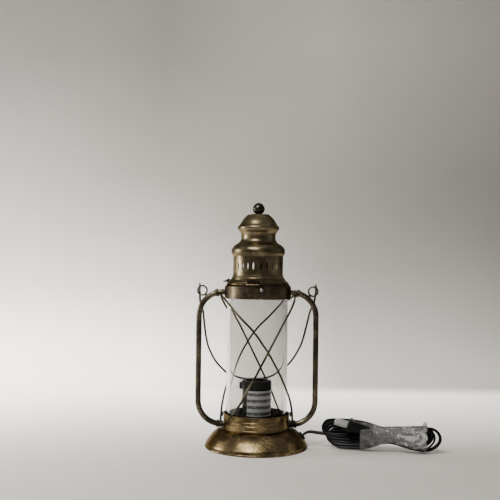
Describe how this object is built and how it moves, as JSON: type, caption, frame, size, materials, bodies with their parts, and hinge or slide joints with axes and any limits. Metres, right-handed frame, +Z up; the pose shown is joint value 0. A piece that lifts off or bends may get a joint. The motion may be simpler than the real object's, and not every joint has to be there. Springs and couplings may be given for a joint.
{
  "type": "ship lantern table lamp",
  "caption": "Spun brass ship lantern with glass chimney, wire guard, side tubes, hinged vented hood and bail, fitted with an electric lampholder and a hanked cord.",
  "frame": {"origin": "centre of the underside, on the surface that the lantern stands on", "axes": "+Z up through the finial, -Y to the front where the hood's hinge is, +X to the side where the cord leaves"},
  "size_m": [0.343, 0.1452, 0.3449],
  "materials": {
    "aged_brass": "antique brass, satin, darkened in the recesses",
    "dark_bronze": "dark antique bronze lacquer, satin",
    "bare_brass": "bare brass, satin",
    "steel": "zinc plated steel",
    "clear_glass": "clear, polished",
    "black_phenolic": "black moulded, semi gloss",
    "black_rubber": "black, matt",
    "cord_black": "black flexible sheath, satin",
    "pale_cap": "pale grey translucent plastic",
    "clear_film": "clear plastic film, wrinkled",
    "label_paper": "blank pale label",
    "green_felt": "dark felt",
    "cover_board": "dark painted steel",
    "ceramic": "white porcelain"
  },
  "bodies": {
    "lantern": {"base_pan": "aged_brass", "bottom_cover": "cover_board", "felt_pad": "green_felt", "cord_grommet": "black_rubber", "cord_stop": "black_rubber", "inner_cord": "cord_black", "gallery_cup": "aged_brass", "gallery_clips": "dark_bronze", "base_nipple": "bare_brass", "nipple_nut": "bare_brass", "nipple_washer": "bare_brass", "holder_cap": "black_phenolic", "holder_body": "black_phenolic", "holder_ring": "black_phenolic", "screw_shell": "bare_brass", "holder_insulator": "ceramic", "centre_contact": "bare_brass", "holder_lug_screw": "black_phenolic", "holder_label": "label_paper", "chimney_glass": "clear_glass", "collar_band": "dark_bronze", "collar_seat": "aged_brass", "collar_screw": "bare_brass", "side_tube_right": "dark_bronze", "side_tube_left": "dark_bronze", "eye_ring_right": "dark_bronze", "eye_ring_left": "dark_bronze", "guard_wire_front_under": "dark_bronze", "guard_wire_front_over": "dark_bronze", "guard_wire_back_under": "dark_bronze", "guard_wire_back_over": "dark_bronze", "guard_ties": "dark_bronze", "hinge_leaf_collar": "dark_bronze", "hinge_pin": "dark_bronze", "hinge_rivets": "dark_bronze", "catch_stud": "dark_bronze", "cord_lead": "cord_black", "cord_hank": "cord_black", "cord_wrap": "clear_film", "plug_body": "black_phenolic", "plug_pins": "steel", "pin_cover": "pale_cap"},
    "hood": {"hood_flange": "dark_bronze", "hood_drum": "dark_bronze", "hood_shoulder": "dark_bronze", "hood_top": "dark_bronze", "cap_disc": "dark_bronze", "finial_washer": "dark_bronze", "finial_ball": "dark_bronze", "finial_stud": "steel", "finial_nut": "steel", "lift_tab": "dark_bronze", "hinge_leaf_hood": "dark_bronze", "catch_tongue": "dark_bronze"},
    "bail": {"bail_handle": "dark_bronze"}
  },
  "joints": [
    {"name": "hood_hinge", "type": "hinge", "parent": "lantern", "child": "hood", "pos_m": [-0.00781, -0.04766, 0.2293], "axis": [0.9869, -0.1616, 0], "range_deg": [0, 100]},
    {"name": "bail_swing", "type": "hinge", "parent": "lantern", "child": "bail", "pos_m": [0, 0, 0.2252], "axis": [1, 0, 0], "range_deg": [0, 314]}
  ]
}
